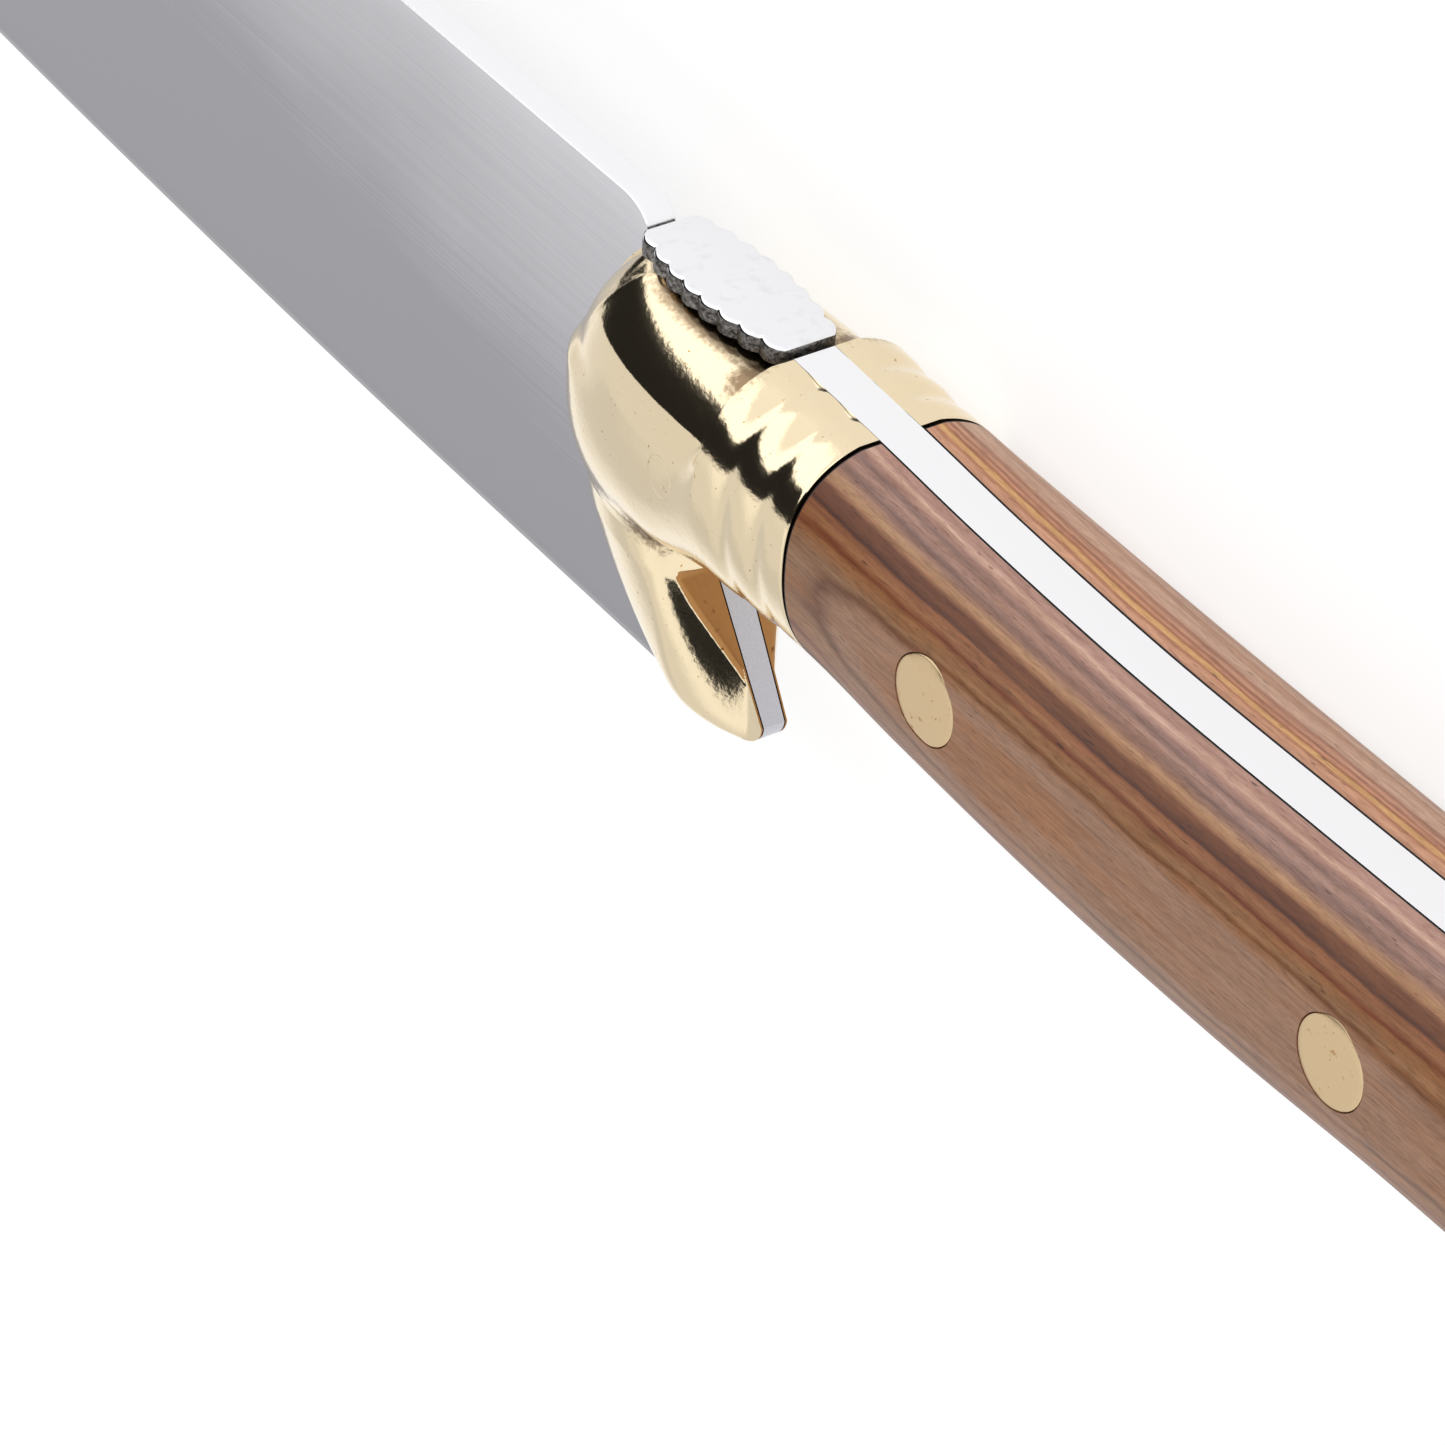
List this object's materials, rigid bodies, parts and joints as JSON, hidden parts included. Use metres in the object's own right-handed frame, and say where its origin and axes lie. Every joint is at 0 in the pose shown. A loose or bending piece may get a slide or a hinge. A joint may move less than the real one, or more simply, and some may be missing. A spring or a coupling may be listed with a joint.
{
  "type": "fixed-blade knife",
  "caption": "Large full-tang knife with a deep smooth blade, brass bolsters that sweep down into a finger guard, riveted wood scales and a small plate on the spine.",
  "frame": {"origin": "on the flat side land of the right scale, halfway between the front and the middle pin; the knife lies on that side", "axes": "+X along the knife to the tip, +Y to the cutting edge, +Z out of the left side"},
  "size_m": [0.4234, 0.035, 0.0176],
  "materials": {
    "steel": "fine satin polish",
    "plate_steel": "mirror polished steel",
    "brass": "hand polished, slightly wavy",
    "pin_brass": "dressed flush, fine scratches",
    "wood": "oiled, straight grain along the handle"
  },
  "bodies": {
    "root": {"blade_and_tang": "steel", "spine_plate": "plate_steel", "left_bolster": "brass", "right_bolster": "brass", "left_scale": "wood", "right_scale": "wood", "bolster_pin": "pin_brass", "scale_pin_front": "pin_brass", "scale_pin_middle": "pin_brass", "scale_pin_rear": "pin_brass"}
  },
  "joints": []
}
